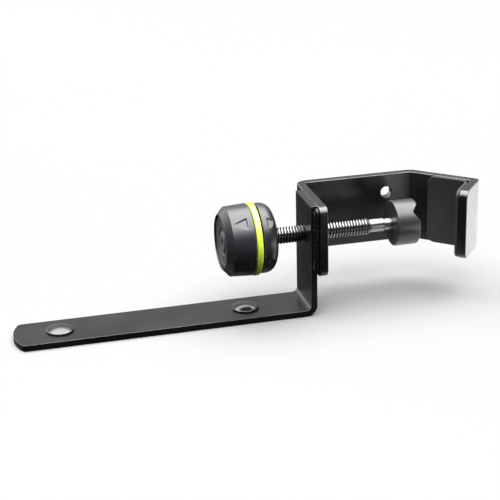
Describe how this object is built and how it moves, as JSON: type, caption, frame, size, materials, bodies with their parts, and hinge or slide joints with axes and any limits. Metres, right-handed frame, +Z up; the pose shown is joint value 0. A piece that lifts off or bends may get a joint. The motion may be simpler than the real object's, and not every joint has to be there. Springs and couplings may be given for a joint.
{
  "type": "clamp-on accessory bracket",
  "caption": "Screw clamp with a V jaw, soft-grip knob and swivelling pad, on a bent flat strap riveted to a panel, for a round tube",
  "frame": {"origin": "on the strap's underside, on its centre line, midway between the two rivets", "axes": "+X along the strap towards the jaw, +Z up and out of the panel, the C of the clamp opens towards -Y"},
  "size_m": [0.2266, 0.0437, 0.0547],
  "materials": {
    "black_powder_coat": "semi-gloss powder coat with fine orange peel",
    "black_rivet": "glossy black",
    "dark_steel": "dark oxide",
    "zinc_steel": "zinc plated",
    "liner_rubber": "matte black",
    "black_nickel": "black nickel, bright crests",
    "pad_plastic": "matte dark grey",
    "hub_plastic": "matte",
    "brass": "machined",
    "soft_grip": "soft-touch matte",
    "lime_ring": "satin bright lime",
    "cap_plastic": "matte"
  },
  "bodies": {
    "frame": {"mounting_strap": "black_powder_coat", "clamp_bracket": "black_powder_coat", "weld_front": "black_powder_coat", "weld_rear": "black_powder_coat", "rivet_outer": "black_rivet", "rivet_inner": "black_rivet", "threaded_bush": "zinc_steel", "jaw_liner": "liner_rubber"},
    "carrier": {"thrust_disc": "zinc_steel"},
    "spindle": {"clamp_screw": "black_nickel", "knob_core": "hub_plastic", "knob_insert": "brass", "knob_grip_front": "soft_grip", "knob_ring": "lime_ring", "knob_grip_rear": "soft_grip", "knob_cap": "cap_plastic", "knob_screw": "dark_steel", "knob_washer": "zinc_steel"},
    "pad": {"pad_body": "pad_plastic", "pad_snap_ring": "dark_steel"}
  },
  "joints": [
    {"name": "clamp_travel", "type": "slide", "parent": "frame", "child": "carrier", "axis": [1, 0, 0], "range_m": [-0.025, 0.012]},
    {"name": "knob_turn", "type": "hinge", "parent": "carrier", "child": "spindle", "pos_m": [0.0457, 0, 0.0375], "axis": [1, 0, 0], "range_deg": [-6300, 3000]},
    {"name": "pad_swivel", "type": "hinge", "parent": "carrier", "child": "pad", "pos_m": [0.1222, 0, 0.0375], "axis": [1, 0, 0], "continuous": true}
  ],
  "couplings": [
    {"joint": "clamp_travel", "follows": "knob_turn", "m_per_rad": 0.00022459}
  ]
}
